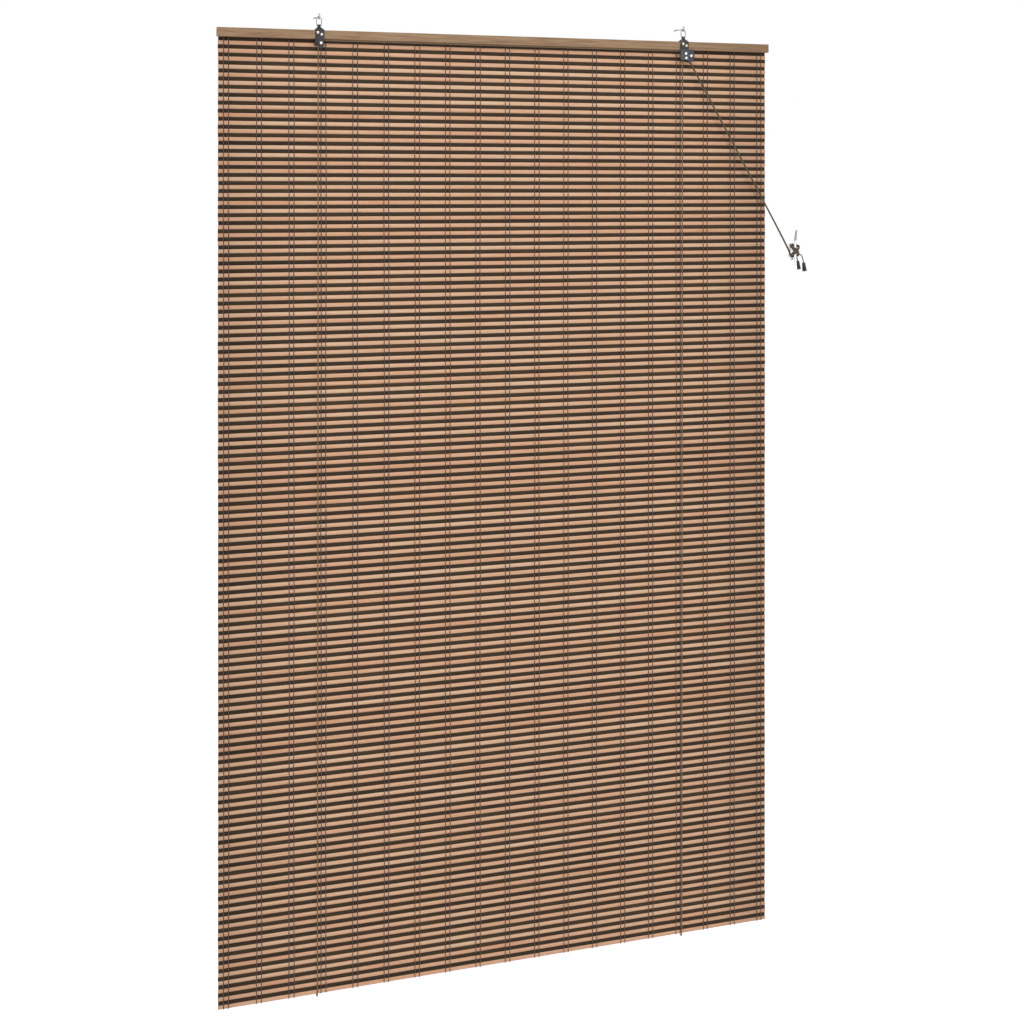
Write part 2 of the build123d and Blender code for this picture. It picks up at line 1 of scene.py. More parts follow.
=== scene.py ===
import bmesh
import bpy
import math
import numpy as np
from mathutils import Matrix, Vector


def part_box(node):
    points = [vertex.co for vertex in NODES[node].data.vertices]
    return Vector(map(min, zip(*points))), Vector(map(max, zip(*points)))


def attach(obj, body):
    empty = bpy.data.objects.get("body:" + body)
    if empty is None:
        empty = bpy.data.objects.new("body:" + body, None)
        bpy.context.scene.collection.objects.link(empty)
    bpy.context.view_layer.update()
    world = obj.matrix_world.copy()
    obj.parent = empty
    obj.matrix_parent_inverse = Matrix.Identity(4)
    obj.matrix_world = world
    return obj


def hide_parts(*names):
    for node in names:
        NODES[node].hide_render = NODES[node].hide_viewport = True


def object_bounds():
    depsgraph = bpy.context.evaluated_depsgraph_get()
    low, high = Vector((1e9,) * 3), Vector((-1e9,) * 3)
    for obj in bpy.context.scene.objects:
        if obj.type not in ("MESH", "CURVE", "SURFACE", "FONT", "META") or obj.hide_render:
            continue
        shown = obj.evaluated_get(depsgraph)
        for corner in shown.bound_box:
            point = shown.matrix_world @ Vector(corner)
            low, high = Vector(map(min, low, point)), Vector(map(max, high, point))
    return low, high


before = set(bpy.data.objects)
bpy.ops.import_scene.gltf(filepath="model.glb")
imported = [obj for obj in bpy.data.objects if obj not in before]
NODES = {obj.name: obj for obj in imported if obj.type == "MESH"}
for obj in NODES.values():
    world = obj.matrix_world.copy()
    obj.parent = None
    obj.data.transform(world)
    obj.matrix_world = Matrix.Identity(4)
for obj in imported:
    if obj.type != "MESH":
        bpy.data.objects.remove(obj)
cad_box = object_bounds()

MM = 0.001
rng = np.random.default_rng(7)

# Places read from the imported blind
mat_low, mat_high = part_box("bamboo_mat")
rail_low, rail_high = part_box("headrail")
WEAVE_TOP = rail_low.z
WEAVE_BOTTOM = mat_low.z
MAT_FRONT = mat_low.y
MAT_BACK = mat_high.y

# Weave: light slats and dark sticks in turn, and threads in pairs
ROWS = 121
PITCH = (WEAVE_TOP - WEAVE_BOTTOM) / ROWS
WEAVE_GAP = 0.5 * MM
SLAT_HEIGHT = 7.2 * MM
SLAT_CROWN = 1.15 * MM
SLAT_SPREAD = 0.01
STICK_HEIGHT = 4.9 * MM
STICK_CROWN = 0.5 * MM
STICK_LAP = 0.45 * MM
STICK_FRONT_RECESS = 0.8 * MM
STICK_BACK_RECESS = 0.5 * MM
THREAD_PAIRS = 19
THREAD_PITCH = 54.1 * MM
PAIR_SPACING = 8.0 * MM
THREAD_RISE = 4.0 * MM
PAIR_PLACES = (np.arange(THREAD_PAIRS) - (THREAD_PAIRS - 1) / 2) * THREAD_PITCH

# Hanging units and cleat
UNIT_X = 333.0 * MM
HOOK_DEPTH = -11.0 * MM
CLEAT_X = 558.0 * MM
CLEAT_Z = -400.5 * MM
CLEAT_MIDDLE = np.array([CLEAT_X, 0.0, CLEAT_Z])
CAP_TOPS = {"left": (6.5, -12.0, -18.5), "right": (19.0, -12.0, -22.0)}

# Cord routes, in millimetres
CORD_RADIUS = 1.0
LOCK_EXIT_X = 339.3
LOCK_EXIT_Z = -48.2
LEFT_CORD_X = -335.3
RIGHT_CORD_X = 330.7
LEFT_CORD_Y = -15.35
RIGHT_CORD_Y = -13.15
CORD_RUN_DROP = 2.0
CORD_FRONT_Y = -9.55
CORD_BACK_Y = -2.75
MAT_TURN_RADIUS = 3.4
CORD_END_LAP = 6.8


def linear(red, green, blue):
    """Linear colour with alpha from 0..255 display values: the standard display curve undone."""
    shares = np.array([red, green, blue]) / 255.0
    values = np.where(shares <= 0.04045, shares / 12.92, ((shares + 0.055) / 1.055) ** 2.4)
    return (*[float(v) for v in values], 1.0)


# Meshes


def grid_faces(count, along, around, looped=False):
    """Corner indices of the quads of several grids of along by around points, one after another.

    Quad (i, j) joins points i and i + 1 along with j and j + 1 around, and the last around with the first.
    A looped grid also joins its last ring to its first.
    """
    rings = along if looped else along - 1
    i, j = np.meshgrid(np.arange(rings), np.arange(around), indexing="ij")
    after, beside = (i + 1) % along, (j + 1) % around
    corners = [i * around + j, i * around + beside, after * around + beside, after * around + j]
    quads = np.stack(corners, -1).reshape(-1, 4)
    starts = np.arange(count)[:, None, None] * (along * around)
    return (quads[None] + starts).reshape(-1, 4)


def end_faces(count, along, around):
    """Corner indices of the faces that close the first and last rings of several grids."""
    ring = np.arange(around)
    starts = np.arange(count)[:, None] * (along * around)
    first = starts + ring[None, ::-1]
    last = starts + (along - 1) * around + ring[None]
    return np.concatenate([first, last])


def shut_faces(grid, start=0):
    """Faces of one grid of rings, or of several one after another, with both ends shut."""
    along, around = grid.shape[-3:-1]
    count = grid.size // (3 * along * around)
    sides = grid_faces(count, along, around) + start
    return sides.tolist() + (end_faces(count, along, around) + start).tolist()


def piece(name, points, faces, body, material, replaced=(), tone=None, uv=None):
    """Smooth mesh piece of the given points and faces, its normals turned outwards, riding on a body."""
    mesh = bpy.data.meshes.new(name)
    mesh.from_pydata(np.asarray(points).reshape(-1, 3).tolist(), [], faces)
    if tone is not None:
        attribute = mesh.attributes.new("tone", "FLOAT", "POINT")
        attribute.data.foreach_set("value", np.asarray(tone, np.float32).ravel())
    if uv is not None:
        layer = mesh.uv_layers.new(name="along")
        corners = np.empty(len(mesh.loops), np.int32)
        mesh.loops.foreach_get("vertex_index", corners)
        layer.data.foreach_set("uv", np.asarray(uv, np.float32).reshape(-1, 2)[corners].ravel())
    work = bmesh.new()
    work.from_mesh(mesh)
    bmesh.ops.recalc_face_normals(work, faces=work.faces)
    work.to_mesh(mesh)
    work.free()
    mesh.polygons.foreach_set("use_smooth", np.full(len(mesh.polygons), True))
    mesh.materials.append(material)
    obj = bpy.data.objects.new(name, mesh)
    bpy.context.scene.collection.objects.link(obj)
    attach(obj, body)
    if replaced:
        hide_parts(*replaced)
    return obj


def circle(sides):
    """Angles of evenly spaced points round a circle."""
    return np.arange(sides) * (2 * np.pi / sides)


def normals_along(path):
    """Two unit normals at each point of a path, carried on from point to point with the least turn."""
    tangent = np.gradient(path, axis=0)
    tangent /= np.linalg.norm(tangent, axis=1, keepdims=True)
    helper = np.array([1.0, 0.0, 0.0]) if abs(tangent[0, 0]) < 0.8 else np.array([0.0, 1.0, 0.0])
    normal = np.empty_like(path)
    carried = helper - tangent[0] * helper.dot(tangent[0])
    for i, along in enumerate(tangent):
        carried = carried - along * carried.dot(along)
        carried = carried / np.linalg.norm(carried)
        normal[i] = carried
    return normal, np.cross(tangent, normal)


def tube_points(path, radius, sides):
    """Rings round a path: point = path + radius (cos a normal + sin a other normal).

    The radius is one number, or differs along the path, or along and around.
    """
    normal, other = normals_along(path)
    angle = circle(sides)[None, :, None]
    ring = np.cos(angle) * normal[:, None] + np.sin(angle) * other[:, None]
    size = np.asarray(radius, float)
    if size.ndim == 1:
        size = size[:, None]
    return path[:, None] + ring * np.broadcast_to(size, ring.shape[:2])[..., None]


def lathe_points(profile, sides, centre, axis):
    """Profile of (radius, height) points turned about an axis.

    Point = centre + height axis + radius (cos a u + sin a v), with u and v square to the axis.
    """
    profile = np.asarray(profile, float)
    axis = np.asarray(axis, float) / np.linalg.norm(axis)
    side = np.cross(axis, [0.0, 0.0, 1.0] if abs(axis[2]) < 0.9 else [1.0, 0.0, 0.0])
    side /= np.linalg.norm(side)
    other = np.cross(axis, side)
    angle = circle(sides)[:, None]
    ring = np.cos(angle) * side + np.sin(angle) * other
    return np.asarray(centre) + profile[:, None, 1:2] * axis + profile[:, None, 0:1] * ring[None]


# Shader helpers


def new_group(name, inputs, outputs):
    """Shader node group with named sockets."""
    group = bpy.data.node_groups.new(name, "ShaderNodeTree")
    for label, kind, value in inputs:
        socket = group.interface.new_socket(name=label, in_out="INPUT", socket_type=kind)
        socket.default_value = value
    for label in outputs:
        group.interface.new_socket(name=label, in_out="OUTPUT", socket_type="NodeSocketFloat")
    return group, group.nodes.new("NodeGroupInput"), group.nodes.new("NodeGroupOutput")


def math_node(tree, operation, first, second=None, third=None):
    """Math node fed with sockets or numbers; returns its value."""
    node = tree.nodes.new("ShaderNodeMath")
    node.operation = operation
    for socket, value in zip(node.inputs, (first, second, third)):
        if value is None:
            continue
        if isinstance(value, (int, float)):
            socket.default_value = value
        else:
            tree.links.new(value, socket)
    return node.outputs[0]


def ramp_node(tree, value, stops):
    """Colour ramp over a value, from (place, colour) stops."""
    node = tree.nodes.new("ShaderNodeValToRGB")
    while len(node.color_ramp.elements) < len(stops):
        node.color_ramp.elements.new(0.5)
    for element, (place, colour) in zip(node.color_ramp.elements, stops):
        element.position = place
        element.color = colour
    tree.links.new(value, node.inputs[0])
    return node.outputs[0]


def range_node(tree, value, low, high, to_low, to_high):
    """Linear map of a value from one range to another, held at the ends."""
    node = tree.nodes.new("ShaderNodeMapRange")
    for socket, number in zip(node.inputs[1:5], (low, high, to_low, to_high)):
        socket.default_value = number
    tree.links.new(value, node.inputs[0])
    return node.outputs[0]


def noise_node(tree, vector, scale, detail):
    """Noise over a vector; returns its value."""
    node = tree.nodes.new("ShaderNodeTexNoise")
    node.inputs["Scale"].default_value = scale
    node.inputs["Detail"].default_value = detail
    tree.links.new(vector, node.inputs["Vector"])
    return node.outputs[0]


def cane_grain():
    """Group: streaks along X. Object place, stretched and shifted, feeds a coarse and a fine noise."""
    group, source, sink = new_group(
        "cane_grain",
        [("Stretch", "NodeSocketVector", (8.0, 300.0, 300.0)), ("Shift", "NodeSocketFloat", 0.0)],
        ["Streak", "Fibre", "Height"],
    )
    shift_reach, fibre_share = 37.0, 0.6
    place = group.nodes.new("ShaderNodeTexCoord")
    scaled = group.nodes.new("ShaderNodeVectorMath")
    scaled.operation = "MULTIPLY"
    group.links.new(place.outputs["Object"], scaled.inputs[0])
    group.links.new(source.outputs["Stretch"], scaled.inputs[1])
    shifted = group.nodes.new("ShaderNodeVectorMath")
    shifted.operation = "ADD"
    group.links.new(scaled.outputs[0], shifted.inputs[0])
    group.links.new(math_node(group, "MULTIPLY", source.outputs["Shift"], shift_reach), shifted.inputs[1])
    streak = noise_node(group, shifted.outputs[0], 1.0, 3.0)
    fibre = noise_node(group, shifted.outputs[0], 5.0, 2.0)
    group.links.new(streak, sink.inputs["Streak"])
    group.links.new(fibre, sink.inputs["Fibre"])
    group.links.new(math_node(group, "MULTIPLY_ADD", fibre, fibre_share, streak), sink.inputs["Height"])
    return group


def handling_marks():
    """Group: fine scuffs and dust. Two noises of the object place, the finer one cut off to small spots."""
    group, source, sink = new_group(
        "handling_marks",
        [("Fineness", "NodeSocketFloat", 900.0), ("Amount", "NodeSocketFloat", 0.5)],
        ["Scuff", "Cloud", "Height"],
    )
    spots_from, spots_full, cloud_scale = 0.56, 0.72, 120.0
    place = group.nodes.new("ShaderNodeTexCoord")
    fine = group.nodes.new("ShaderNodeTexNoise")
    fine.inputs["Detail"].default_value = 4.0
    group.links.new(place.outputs["Object"], fine.inputs["Vector"])
    group.links.new(source.outputs["Fineness"], fine.inputs["Scale"])
    cloud = noise_node(group, place.outputs["Object"], cloud_scale, 2.0)
    spots = range_node(group, fine.outputs[0], spots_from, spots_full, 0.0, 1.0)
    group.links.new(math_node(group, "MULTIPLY", spots, source.outputs["Amount"]), sink.inputs["Scuff"])
    group.links.new(cloud, sink.inputs["Cloud"])
    group.links.new(fine.outputs[0], sink.inputs["Height"])
    return group


def plait():
    """Group: strands laid both ways round a cord, read from the cord's own map.

    Height is the larger of two sines, of the turns along plus and minus the strands around.
    """
    group, source, sink = new_group(
        "plait",
        [
            ("Turns", "NodeSocketFloat", 600.0),
            ("Strands", "NodeSocketFloat", 4.0),
            ("Cross", "NodeSocketFloat", 1.0),
        ],
        ["Height", "Shade"],
    )
    chart = group.nodes.new("ShaderNodeUVMap")
    chart.uv_map = "along"
    split = group.nodes.new("ShaderNodeSeparateXYZ")
    group.links.new(chart.outputs[0], split.inputs[0])
    along = math_node(group, "MULTIPLY", split.outputs[0], source.outputs["Turns"])
    around = math_node(group, "MULTIPLY", split.outputs[1], source.outputs["Strands"])
    one_way = math_node(group, "MULTIPLY", math_node(group, "ADD", along, around), 2 * math.pi)
    other_way = math_node(group, "MULTIPLY", math_node(group, "SUBTRACT", along, around), 2 * math.pi)
    first = math_node(group, "SINE", one_way)
    second = math_node(group, "MULTIPLY", math_node(group, "SINE", other_way), source.outputs["Cross"])
    relief = math_node(group, "MAXIMUM", first, second)
    group.links.new(relief, sink.inputs["Height"])
    group.links.new(range_node(group, relief, -0.6, 1.0, 0.0, 1.0), sink.inputs["Shade"])
    return group


GRAIN = cane_grain()
MARKS = handling_marks()
PLAIT = plait()


# Finishes


def finish(name, metallic=0.0, roughness=0.5):
    """Material with one Principled shader; returns the material, its tree and the shader."""
    material = bpy.data.materials.new(name)
    material.use_nodes = True
    tree = material.node_tree
    shader = tree.nodes["Principled BSDF"]
    shader.inputs["Metallic"].default_value = metallic
    shader.inputs["Roughness"].default_value = roughness
    return material, tree, shader


def placed(tree, group, **values):
    """Group node in a material with its own values."""
    node = tree.nodes.new("ShaderNodeGroup")
    node.node_tree = group
    for label, value in values.items():
        node.inputs[label].default_value = value
    return node


def bumped(tree, shader, height, distance, strength):
    """Bump node on a shader's normal."""
    bump = tree.nodes.new("ShaderNodeBump")
    bump.inputs["Distance"].default_value = distance
    bump.inputs["Strength"].default_value = strength
    tree.links.new(height, bump.inputs["Height"])
    tree.links.new(bump.outputs[0], shader.inputs["Normal"])


def cane_finish(name, dark, middle, light, roughness, bump):
    """Split cane: its own tone and streaks pick the colour, and fibres show in roughness and bump."""
    material, tree, shader = finish(name)
    tone_share = 0.2
    tone = tree.nodes.new("ShaderNodeAttribute")
    tone.attribute_name = "tone"
    grain = placed(tree, GRAIN, Stretch=(9.0, 420.0, 420.0))
    tree.links.new(tone.outputs["Fac"], grain.inputs["Shift"])
    streaks = math_node(tree, "MULTIPLY", grain.outputs["Streak"], 1 - tone_share)
    mixed = math_node(tree, "MULTIPLY_ADD", tone.outputs["Fac"], tone_share, streaks)
    stops = [(0.28, linear(*dark)), (0.5, linear(*middle)), (0.72, linear(*light))]
    tree.links.new(ramp_node(tree, mixed, stops), shader.inputs["Base Color"])
    rough = range_node(tree, grain.outputs["Fibre"], 0.3, 0.7, roughness - 0.08, roughness + 0.1)
    tree.links.new(rough, shader.inputs["Roughness"])
    shader.inputs["Specular IOR Level"].default_value = 0.3
    bumped(tree, shader, grain.outputs["Height"], 0.15 * MM, bump)
    return material


def batten_finish():
    """Stained planed batten: long streaks in three browns and a fine pore bump."""
    material, tree, shader = finish("headrail_batten")
    grain = placed(tree, GRAIN, Stretch=(14.0, 260.0, 260.0), Shift=0.31)
    stops = [(0.3, linear(116, 88, 60)), (0.5, linear(143, 113, 83)), (0.7, linear(158, 130, 99))]
    tree.links.new(ramp_node(tree, grain.outputs["Streak"], stops), shader.inputs["Base Color"])
    tree.links.new(range_node(tree, grain.outputs["Fibre"], 0.3, 0.7, 0.5, 0.68), shader.inputs["Roughness"])
    bumped(tree, shader, grain.outputs["Height"], 0.2 * MM, 0.5)
    return material


def scuffed_finish(name, colour, worn, metallic, roughness, fineness, amount, bump):
    """Lacquer, plating, plastic or tie: scuffs lead from the colour to the worn one and roughen it."""
    material, tree, shader = finish(name, metallic)
    cloud_spread, scuff_spread = 0.16, 0.2
    marks = placed(tree, MARKS, Fineness=fineness, Amount=amount)
    scuff = marks.outputs["Scuff"]
    stops = [(0.0, linear(*colour)), (1.0, linear(*worn))]
    tree.links.new(ramp_node(tree, scuff, stops), shader.inputs["Base Color"])
    smoothest = roughness - cloud_spread / 2
    spread = math_node(tree, "MULTIPLY_ADD", marks.outputs["Cloud"], cloud_spread, smoothest)
    rough = math_node(tree, "MULTIPLY_ADD", scuff, scuff_spread, spread)
    tree.links.new(rough, shader.inputs["Roughness"])
    bumped(tree, shader, marks.outputs["Height"], 0.05 * MM, bump)
    return material


def strand_finish(name, shadow, colour, turns, strands, cross, depth):
    """Plaited or twisted cord: the strands' height leads from a painted shadow in the grooves between
    strands to the colour on them, and lifts the surface.
    """
    material, tree, shader = finish(name, 0.0, 0.85)
    weave = placed(tree, PLAIT, Turns=turns, Strands=strands, Cross=cross)
    stops = [(0.0, linear(*shadow)), (1.0, linear(*colour))]
    tree.links.new(ramp_node(tree, weave.outputs["Shade"], stops), shader.inputs["Base Color"])
    shader.inputs["Sheen Weight"].default_value = 0.25
    bumped(tree, shader, weave.outputs["Height"], depth, 0.7)
    return material


def shaded_along(material, axis, low, high, colour, most=1.0):
    """Leads a finish's colour over to another between two places along an axis, by a share at most."""
    tree = material.node_tree
    base = tree.nodes["Principled BSDF"].inputs["Base Color"]
    place = tree.nodes.new("ShaderNodeTexCoord")
    split = tree.nodes.new("ShaderNodeSeparateXYZ")
    tree.links.new(place.outputs["Object"], split.inputs[0])
    mix = tree.nodes.new("ShaderNodeMix")
    mix.data_type = "RGBA"
    # A colour mix has its share in socket 0, its colours in 6 and 7 and its result in output 2
    tree.links.new(range_node(tree, split.outputs[axis], low, high, 0.0, most), mix.inputs[0])
    tree.links.new(base.links[0].from_socket, mix.inputs[6])
    mix.inputs[7].default_value = linear(*colour)
    tree.links.new(mix.outputs[2], base)


slat_cane = cane_finish("slat_cane", (206, 152, 118), (213, 169, 137), (219, 185, 155), 0.5, 0.35)
stick_cane = cane_finish("stick_cane", (32, 21, 8), (48, 35, 19), (62, 48, 29), 0.72, 0.5)
batten_wood = batten_finish()

# Colour, worn colour, metallic, roughness, fineness and amount of scuffs, bump
black_lacquer = scuffed_finish("black_lacquer", (30, 30, 33), (84, 84, 88), 0.0, 0.36, 700.0, 0.5, 0.25)
strap_lacquer = scuffed_finish("strap_lacquer", (20, 22, 22), (62, 66, 64), 0.0, 0.36, 700.0, 0.5, 0.25)
lock_lacquer = scuffed_finish("lock_lacquer", (60, 61, 65), (108, 109, 113), 0.1, 0.38, 700.0, 0.5, 0.25)
bright_zinc = scuffed_finish("bright_zinc", (158, 160, 164), (104, 105, 109), 1.0, 0.26, 900.0, 0.5, 0.2)
nickel = scuffed_finish("nickel", (222, 221, 217), (150, 148, 144), 1.0, 0.22, 1200.0, 0.5, 0.15)
screw_plate = scuffed_finish("screw_plate", (200, 195, 186), (146, 141, 134), 1.0, 0.25, 1200.0, 0.5, 0.15)
cast_plate_painted_shade = scuffed_finish("cast_plate_painted_shade", (232, 233, 236), (200, 201, 205), 1.0, 0.3, 500.0, 0.4, 0.35)
cam_zinc = scuffed_finish("cam_zinc", (150, 152, 156), (112, 112, 116), 1.0, 0.38, 900.0, 0.6, 0.3)
staple_steel = scuffed_finish("staple_steel", (176, 176, 178), (120, 118, 114), 1.0, 0.35, 900.0, 0.5, 0.2)
wheel_plastic = scuffed_finish("wheel_plastic", (48, 48, 50), (74, 74, 76), 0.0, 0.48, 600.0, 0.4, 0.15)
cap_gloss = scuffed_finish("cap_gloss", (15, 15, 16), (44, 44, 46), 0.0, 0.18, 500.0, 0.3, 0.08)
tie_dark = scuffed_finish("tie_dark", (27, 18, 12), (46, 33, 23), 0.0, 0.85, 900.0, 0.6, 0.3)

# Painted shadow between the strands, colour on the strands, turns per metre, strands, share laid the other
# way, depth
cord_braid = strand_finish("cord_braid", (66, 52, 35), (128, 103, 72), 420.0, 3.0, 1.0, 0.12 * MM)
pull_braid = strand_finish("pull_braid", (46, 38, 24), (96, 79, 53), 420.0, 3.0, 1.0, 0.12 * MM)
warp_twist = strand_finish("warp_twist", (46, 29, 17), (96, 64, 40), 700.0, 1.0, 0.0, 0.08 * MM)

X_AXIS, Z_AXIS = 0, 2
shaded_along(lock_lacquer, Z_AXIS, -40.0 * MM, -36.0 * MM, (28, 30, 30))
shaded_along(lock_lacquer, X_AXIS, 340.0 * MM, 341.5 * MM, (44, 46, 57))
shaded_along(batten_wood, X_AXIS, 350.0 * MM, 430.0 * MM, (112, 82, 50), 0.55)
shaded_along(strap_lacquer, Z_AXIS, -22.0 * MM, -18.0 * MM, (7, 7, 8))
# Painted shade: the cleat's upper horn, above its base, turns grey in place of the darker reflection on the
# plated horn
shaded_along(cast_plate_painted_shade, Z_AXIS, CLEAT_Z + 16.0 * MM, CLEAT_Z + 21.0 * MM, (146, 148, 152))

# Finishes of the solids that stay
for node, material in {
    "headrail": batten_wood,
    "thread_staples": staple_steel,
    "cord_staples": staple_steel,
    "left_bracket": strap_lacquer,
    "right_bracket": strap_lacquer,
    "left_housing": black_lacquer,
    "lock_housing": lock_lacquer,
    "left_pulley": wheel_plastic,
    "lock_pulley": wheel_plastic,
    "lock_cam": cam_zinc,
}.items():
    NODES[node].data.materials.clear()
    NODES[node].data.materials.append(material)


# Camera and cords


def camera():
    """Level camera at the photograph's viewing angle, shifted down for its framing."""
    data = bpy.data.cameras.new("view")
    data.sensor_width = 36.0
    data.lens = 58.57
    data.shift_y = -0.31866
    obj = bpy.data.objects.new("view", data)
    obj.location = (-0.96094, -2.72158, -0.28099)
    obj.rotation_euler = (math.radians(90.0), 0.0, -0.343)
    bpy.context.scene.collection.objects.link(obj)
    bpy.context.scene.camera = obj


def route_line(name, route):
    """Points read along one open smooth spline whose control points are the route's."""
    curve = bpy.data.curves.new(name, "CURVE")
    curve.dimensions = "3D"
    curve.resolution_u = 10
    spline = curve.splines.new("NURBS")
    spline.points.add(len(route) - 1)
    spline.points.foreach_set("co", np.column_stack([route, np.ones(len(route))]).ravel())
    spline.order_u = 3
    spline.use_endpoint_u = True
    holder = bpy.data.objects.new(name, curve)
    line = bpy.data.meshes.new_from_object(holder)
    points = np.empty(len(line.vertices) * 3)
    line.vertices.foreach_get("co", points)
    points = points.reshape(-1, 3)
    bpy.data.objects.remove(holder)
    bpy.data.curves.remove(curve)
    bpy.data.meshes.remove(line)
    keep = np.append(True, np.linalg.norm(np.diff(points, axis=0), axis=1) > 1e-7)
    return points[keep]


def both_ways(sides):
    """Place round a strand, from 1 down to 0 and back, so that its map has no seam."""
    return np.abs(np.arange(sides) / sides * 2 - 1)


def cord_piece(name, route, replaced, material):
    """Round cord along a route in millimetres, with a map of its length and of the way round.

    Returns the piece, its line and its length.
    """
    sides = 10
    line = route_line(name, np.asarray(route) * MM)
    points = tube_points(line, CORD_RADIUS * MM, sides)
    steps = np.append(0.0, np.cumsum(np.linalg.norm(np.diff(line, axis=0), axis=1)))
    chart = np.stack(np.broadcast_arrays(steps[:, None], both_ways(sides)[None]), -1)
    obj = piece(name, points, shut_faces(points), "blind", material, replaced, uv=chart)
    return obj, line, float(steps[-1])


def mat_turn(x):
    """Route of a lift cord down the front, under the bottom slat and up the back to its staple."""
    low = WEAVE_BOTTOM / MM - MAT_TURN_RADIUS
    straight = low + 2 * MAT_TURN_RADIUS
    return [
        (x, CORD_FRONT_Y, straight),
        (x, CORD_FRONT_Y, low),
        (x, CORD_BACK_Y, low),
        (x, CORD_BACK_Y, straight),
        (x, CORD_BACK_Y, WEAVE_TOP / MM + CORD_END_LAP),
    ]


def lift_cords():
    """Two cords from the lock, down the front and up the back; the left one first runs across."""
    run_z = WEAVE_TOP / MM - CORD_RUN_DROP
    lock_bend, left_bend, right_bend = 8.0, 12.0, 8.6
    left_lean, right_lean = 0.05, 0.03
    left = [
        (LOCK_EXIT_X, LEFT_CORD_Y, LOCK_EXIT_Z),
        (LOCK_EXIT_X, LEFT_CORD_Y, run_z),
        (LOCK_EXIT_X - lock_bend, LEFT_CORD_Y, run_z),
        (LEFT_CORD_X + left_bend, LEFT_CORD_Y, run_z),
        (LEFT_CORD_X, LEFT_CORD_Y, run_z),
        (LEFT_CORD_X, LEFT_CORD_Y + left_lean, run_z - left_bend),
    ]
    right = [
        (LOCK_EXIT_X, RIGHT_CORD_Y, LOCK_EXIT_Z),
        (LOCK_EXIT_X, RIGHT_CORD_Y, run_z),
        (RIGHT_CORD_X, RIGHT_CORD_Y, run_z),
        (RIGHT_CORD_X, RIGHT_CORD_Y + right_lean, run_z - right_bend),
    ]
    cord_piece("left_lift_line", left + mat_turn(LEFT_CORD_X), ["left_lift_cord"], cord_braid)
    cord_piece("right_lift_line", right + mat_turn(RIGHT_CORD_X), ["right_lift_cord"], cord_braid)


def eight_turns(strand):
    """Figure-of-eight turns on the cleat, as points about its middle in millimetres.

    Over the angle t the height is the sine of t and the sideways place minus the sine of 2 t, so the cord
    crosses in front where the cosine of 2 t is 1 and passes behind a horn where it is -1. Each crossing has
    its own lane, the two directions their own layer, and each turn behind a horn lies further from the wall
    than the one before.
    """
    first, last, step = -118.0, 652.0, 24.0
    half_width = 7.2 + 1.9 * strand
    half_height = 9.6 + 2.2 * strand
    depth, lane_pitch = -12.2, 2.5
    low_layer, high_layer = 6.6, 8.8
    horn_depth, horn_step, side_step = 6.6, 2.3, 1.1
    t = np.radians(np.arange(first, last, step))
    front = np.clip(np.cos(2 * t), 0, 1)
    behind = np.clip(-np.cos(2 * t), 0, 1)
    turn = (np.degrees(t) + 90) / 360
    lane = 2 * np.floor(np.degrees(t) / 360 + 0.25) + strand - 1.5
    layer = np.where(np.cos(t) > 0, low_layer, high_layer)
    x = -half_width * np.sin(2 * t)
    z = half_height * np.sin(t) + lane * lane_pitch * front
    at_sides = 1 - front - behind
    y = depth - layer * front + (horn_depth - horn_step * turn) * behind - side_step * turn * at_sides
    return np.column_stack([x, y, z])


def pull_cords():
    """Two cords from the lock to the cleat, their turns on it and their loose ends in black caps."""
    ends = [
        ("left", LEFT_CORD_Y, 0, [(5.3, -12.0, -13.0), (6.1, -12.0, -15.5), (7.4, -12.0, -25.0)]),
        ("right", RIGHT_CORD_Y, 1, [(10.5, -12.0, -5.5), (17.5, -12.0, -11.1), (20.1, -12.0, -29.9)]),
    ]
    middle = CLEAT_MIDDLE / MM
    for side, y, strand, tail in ends:
        cap = end_cap(side)
        # Out of the lock, round the cam and straight to the cleat
        start = [
            (LOCK_EXIT_X, y, LOCK_EXIT_Z),
            (LOCK_EXIT_X, y, LOCK_EXIT_Z - 1.7),
            (345.5, y, -60.3),
            (545.0, y, -396.4),
        ]
        route = np.concatenate([start, middle + eight_turns(strand), middle + np.array(tail)])
        nodes = [f"{side}_pull_cord", f"{side}_tail"] + (["cord_winding"] if strand == 0 else [])
        obj, line, length = cord_piece(f"{side}_pull_line", route, nodes, pull_braid)


def end_cap(side):
    """Bell-shaped cap: a profile of bore, waist, bell, lip and hollow, turned about a leaning line."""
    lean = math.radians(8.0)
    top = CLEAT_MIDDLE + np.array(CAP_TOPS[side]) * MM
    down = np.array([math.sin(lean), 0.0, -math.cos(lean)])
    bore = [(1.05, 6.0), (1.05, 0.4)]
    waist = [(1.4, 0.0), (2.4, 0.1), (2.9, 0.6), (3.1, 1.8), (3.2, 4.0), (3.4, 7.0)]
    bell = [(3.75, 10.0), (4.05, 12.5), (4.2, 14.4), (4.15, 15.4)]
    lip = [(3.8, 15.9), (3.2, 16.0), (2.7, 15.6), (2.4, 14.6)]
    points = lathe_points(np.array(bore + waist + bell + lip) * MM, 24, top, down)
    name = f"{side}_end_cap"
    return piece(name, points, shut_faces(points), "blind", cap_gloss, [f"{side}_cap"])


# Mat


def rounded(values, power):
    """Sines or cosines raised to a power with their sign kept, which squares off a circle."""
    return np.sign(values) * np.abs(values) ** power


